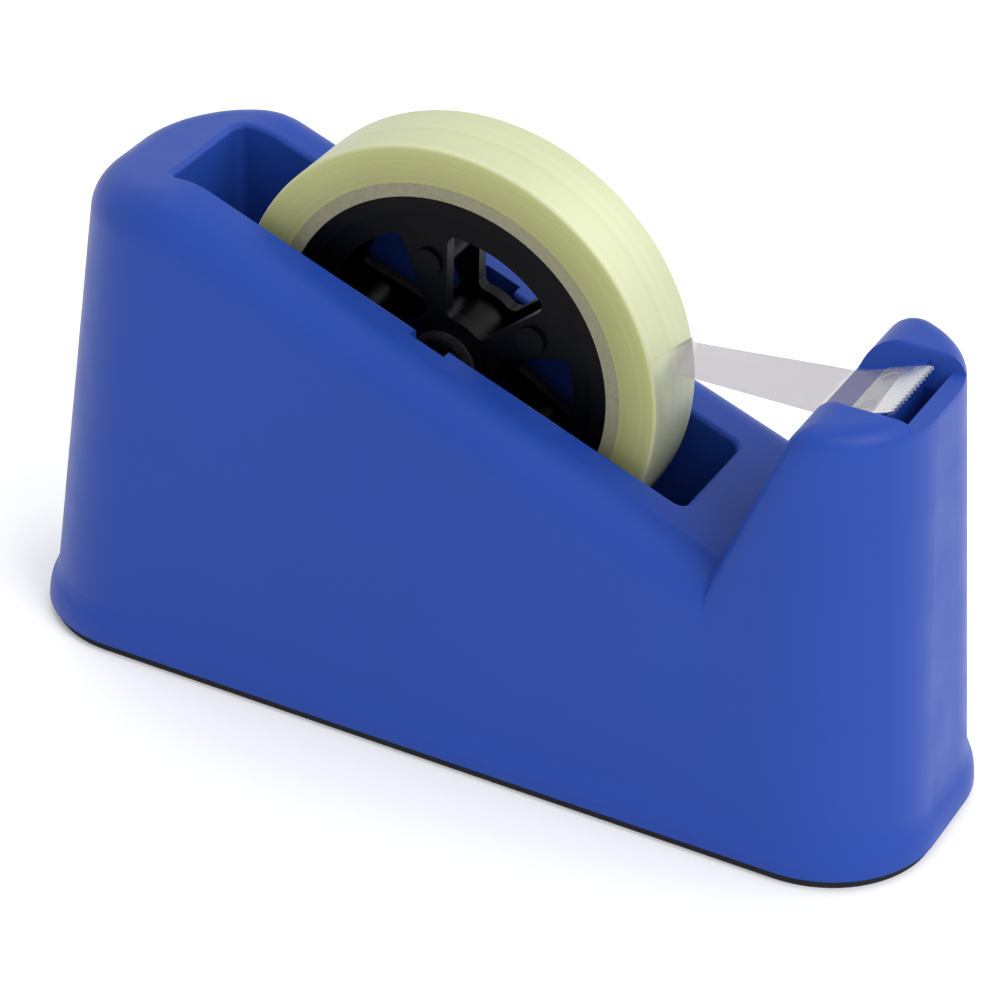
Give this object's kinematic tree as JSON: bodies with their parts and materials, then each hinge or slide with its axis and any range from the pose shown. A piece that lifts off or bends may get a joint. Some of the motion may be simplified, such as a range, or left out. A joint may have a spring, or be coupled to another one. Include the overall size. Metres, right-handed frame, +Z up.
{
  "type": "desk tape dispenser",
  "caption": "Weighted desk dispenser for sticky tape: moulded shell with a tape well, drop-in spoked hub and roll, and a serrated cutter on a front horn.",
  "frame": {"origin": "middle of the footprint, on the table", "axes": "+X towards the cutter, +Y across the width to the far side, +Z up"},
  "size_m": [0.2155, 0.068, 0.1336],
  "materials": {
    "blue_plastic": "satin moulded plastic",
    "black_steel": "black paint",
    "pad_rubber": "fine foam rubber",
    "plated_steel": "bright zinc plate",
    "blackened_steel": "black oxide, oiled",
    "ballast_iron": "as cast",
    "blade_steel": "bright rolled strip",
    "black_plastic": "satin moulded plastic",
    "bush_plastic": "black acetal",
    "core_board": "plain grey board",
    "tape_film": "wound clear film, pale yellow from its adhesive",
    "strip_film": "clear film"
  },
  "bodies": {
    "stand": {"shell": "blue_plastic", "base_plate": "black_steel", "base_pad": "pad_rubber", "base_screws": "plated_steel", "ballast_middle": "ballast_iron", "ballast_front": "ballast_iron", "ballast_rear": "ballast_iron", "ballast_screws": "plated_steel", "cutter_blade": "blade_steel", "blade_screws": "plated_steel"},
    "spindle": {"axle": "blackened_steel", "axle_clips": "blackened_steel", "tape_strip": "strip_film"},
    "wheel": {"hub_near": "black_plastic", "hub_far": "black_plastic", "hub_bushes": "bush_plastic", "hub_screws": "blackened_steel", "tape_core": "core_board", "tape_roll": "tape_film"}
  },
  "joints": [
    {"name": "roll_lift", "type": "slide", "parent": "stand", "child": "spindle", "axis": [0, 0, 1], "range_m": [0, 0.085]},
    {"name": "roll_spin", "type": "hinge", "parent": "spindle", "child": "wheel", "pos_m": [-0.0102, 0, 0.0842], "axis": [0, 1, 0], "continuous": true}
  ]
}
